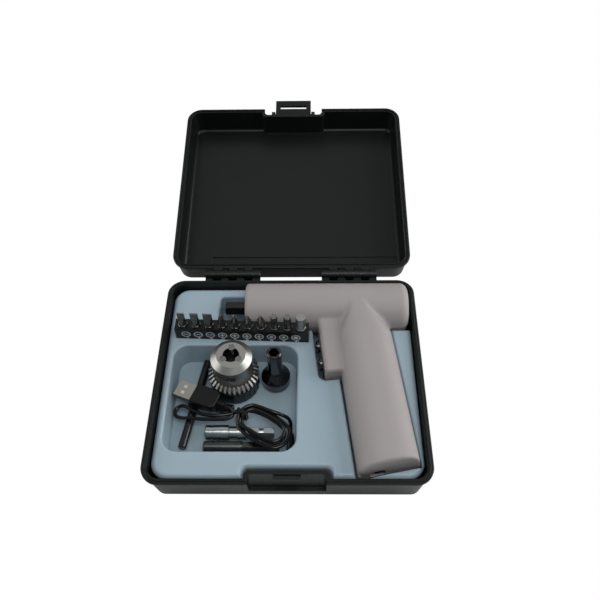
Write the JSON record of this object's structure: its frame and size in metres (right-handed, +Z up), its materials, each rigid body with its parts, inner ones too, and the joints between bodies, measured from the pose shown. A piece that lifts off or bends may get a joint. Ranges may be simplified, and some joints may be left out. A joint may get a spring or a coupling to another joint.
{
  "type": "cordless drill kit in a case",
  "caption": "Pistol-grip cordless drill-driver lying in an open hinged case with chuck, key, bits, adapters and charging cable.",
  "frame": {"origin": "middle of the case's underside, on the surface that it stands on", "axes": "+X along the drill's barrel from its output to its back, +Y towards the hinge and the open lid, +Z up"},
  "size_m": [0.18, 0.3364, 0.0589],
  "materials": {
    "case_black": "fine texture, satin",
    "tray_blue_grey": "smooth, satin",
    "drill_mauve_grey": "fine matt",
    "black_gloss": "polished",
    "black_soft": "matt",
    "bright_steel": "brushed",
    "dark_steel": "blackened",
    "bronze": "sintered",
    "cell_wrap": "shrink sleeve",
    "board_green": "satin"
  },
  "bodies": {
    "case": {"case_base": "case_black", "hinge_pin_left": "bright_steel", "hinge_pin_right": "bright_steel", "tray": "tray_blue_grey"},
    "lid": {"case_lid": "case_black"},
    "latch_flap": {"latch": "case_black"},
    "drill": {"housing_upper": "drill_mauve_grey", "housing_lower": "drill_mauve_grey", "screw_1": "dark_steel", "screw_2": "dark_steel", "screw_3": "dark_steel", "screw_4": "dark_steel", "screw_5": "dark_steel", "output_bearing": "bronze", "gearbox": "bright_steel", "motor": "bright_steel", "battery_cell": "cell_wrap", "control_board": "board_green", "switch_board": "board_green", "charge_socket": "black_gloss", "button_panel": "black_gloss"},
    "output_spindle": {"spindle": "dark_steel"},
    "forward_button": {"button_forward": "black_gloss"},
    "reverse_button": {"button_reverse": "black_gloss"},
    "rack": {"bit_rack": "black_soft"},
    "chuck": {"chuck_body": "bright_steel"},
    "chuck_collar": {"chuck_sleeve": "black_soft", "chuck_ring_gear": "bright_steel", "chuck_nut": "dark_steel"},
    "adapter": {"hex_adapter": "black_gloss"},
    "chuck_key": {"key_shaft": "dark_steel", "key_bar": "dark_steel"},
    "bit_holder": {"holder_shank": "bright_steel"},
    "holder_collar": {"holder_sleeve": "bright_steel"},
    "driver": {"nut_driver": "dark_steel"},
    "cable": {"usb_shell": "bright_steel", "usb_body": "black_soft", "cable_lead": "black_soft", "cable_coil": "black_soft", "cable_tail": "black_soft", "charge_plug_body": "black_soft", "charge_plug_tip": "bright_steel", "cable_tie": "black_soft"},
    "bit_1": {"bit_01": "dark_steel"},
    "bit_2": {"bit_02": "dark_steel"},
    "bit_3": {"bit_03": "dark_steel"},
    "bit_4": {"bit_04": "dark_steel"},
    "bit_5": {"bit_05": "dark_steel"},
    "bit_6": {"bit_06": "dark_steel"},
    "bit_7": {"bit_07": "dark_steel"},
    "bit_8": {"bit_08": "dark_steel"},
    "bit_9": {"bit_09": "dark_steel"},
    "bit_10": {"bit_10": "bright_steel"},
    "jaw_1": {"chuck_jaw_1": "bright_steel"},
    "jaw_2": {"chuck_jaw_2": "bright_steel"},
    "jaw_3": {"chuck_jaw_3": "bright_steel"}
  },
  "joints": [
    {"name": "lid_hinge", "type": "hinge", "parent": "case", "child": "lid", "pos_m": [0, 0.0846, 0.032], "axis": [-1, 0, 0], "range_deg": [-170.4, 0]},
    {"name": "latch_hinge", "type": "hinge", "parent": "lid", "child": "latch_flap", "pos_m": [0, 0.24229, 0.05492], "axis": [-1, 0, 0], "range_deg": [-90, 0]},
    {"name": "drill_lift", "type": "slide", "parent": "case", "child": "drill", "axis": [0, 0, 1], "range_m": [0, 0.045]},
    {"name": "spindle_spin", "type": "hinge", "parent": "drill", "child": "output_spindle", "pos_m": [-0.0316, 0.0554, 0.0285], "axis": [1, 0, 0], "continuous": true},
    {"name": "forward_press", "type": "slide", "parent": "drill", "child": "forward_button", "axis": [0.9936, 0.1132, 0], "range_m": [0, 0.001], "stiffness_N_per_m": 400},
    {"name": "reverse_press", "type": "slide", "parent": "drill", "child": "reverse_button", "axis": [0.9936, 0.1132, 0], "range_m": [0, 0.001], "stiffness_N_per_m": 400},
    {"name": "rack_lift", "type": "slide", "parent": "case", "child": "rack", "axis": [0, 0, 1], "range_m": [0, 0.03]},
    {"name": "bit_1_pull", "type": "slide", "parent": "rack", "child": "bit_1", "axis": [0, 0, 1], "range_m": [0, 0.02]},
    {"name": "bit_2_pull", "type": "slide", "parent": "rack", "child": "bit_2", "axis": [0, 0, 1], "range_m": [0, 0.02]},
    {"name": "bit_3_pull", "type": "slide", "parent": "rack", "child": "bit_3", "axis": [0, 0, 1], "range_m": [0, 0.02]},
    {"name": "bit_4_pull", "type": "slide", "parent": "rack", "child": "bit_4", "axis": [0, 0, 1], "range_m": [0, 0.02]},
    {"name": "bit_5_pull", "type": "slide", "parent": "rack", "child": "bit_5", "axis": [0, 0, 1], "range_m": [0, 0.02]},
    {"name": "bit_6_pull", "type": "slide", "parent": "rack", "child": "bit_6", "axis": [0, 0, 1], "range_m": [0, 0.02]},
    {"name": "bit_7_pull", "type": "slide", "parent": "rack", "child": "bit_7", "axis": [0, 0, 1], "range_m": [0, 0.02]},
    {"name": "bit_8_pull", "type": "slide", "parent": "rack", "child": "bit_8", "axis": [0, 0, 1], "range_m": [0, 0.02]},
    {"name": "bit_9_pull", "type": "slide", "parent": "rack", "child": "bit_9", "axis": [0, 0, 1], "range_m": [0, 0.02]},
    {"name": "bit_10_pull", "type": "slide", "parent": "rack", "child": "bit_10", "axis": [0, 0, 1], "range_m": [0, 0.02]},
    {"name": "chuck_lift", "type": "slide", "parent": "case", "child": "chuck", "axis": [0, 0, 1], "range_m": [0, 0.05]},
    {"name": "collar_turn", "type": "hinge", "parent": "chuck", "child": "chuck_collar", "pos_m": [-0.0382, 0.0054, 0.0172], "axis": [0, 0, 1], "range_deg": [0, 2160]},
    {"name": "jaw_1_feed", "type": "slide", "parent": "chuck", "child": "jaw_1", "axis": [0, -0.2079, 0.9781], "range_m": [0, 0.015]},
    {"name": "jaw_2_feed", "type": "slide", "parent": "chuck", "child": "jaw_2", "axis": [0.1801, 0.104, 0.9781], "range_m": [0, 0.015]},
    {"name": "jaw_3_feed", "type": "slide", "parent": "chuck", "child": "jaw_3", "axis": [-0.1801, 0.104, 0.9781], "range_m": [0, 0.015]},
    {"name": "adapter_lift", "type": "slide", "parent": "case", "child": "adapter", "axis": [0, 0, 1], "range_m": [0, 0.045]},
    {"name": "key_lift", "type": "slide", "parent": "case", "child": "chuck_key", "axis": [0, 0, 1], "range_m": [0, 0.03]},
    {"name": "holder_lift", "type": "slide", "parent": "chuck_key", "child": "bit_holder", "axis": [0, 0, 1], "range_m": [0, 0.02]},
    {"name": "collar_slide", "type": "slide", "parent": "bit_holder", "child": "holder_collar", "axis": [1, 0, 0], "range_m": [0, 0.003], "stiffness_N_per_m": 300},
    {"name": "driver_lift", "type": "slide", "parent": "bit_holder", "child": "driver", "axis": [0, 0, 1], "range_m": [0, 0.02]},
    {"name": "cable_lift", "type": "slide", "parent": "driver", "child": "cable", "axis": [0, 0, 1], "range_m": [0, 0.04]}
  ],
  "couplings": [
    {"joint": "jaw_1_feed", "follows": "collar_turn", "m_per_rad": 0.00039789},
    {"joint": "jaw_2_feed", "follows": "collar_turn", "m_per_rad": 0.00039789},
    {"joint": "jaw_3_feed", "follows": "collar_turn", "m_per_rad": 0.00039789}
  ]
}
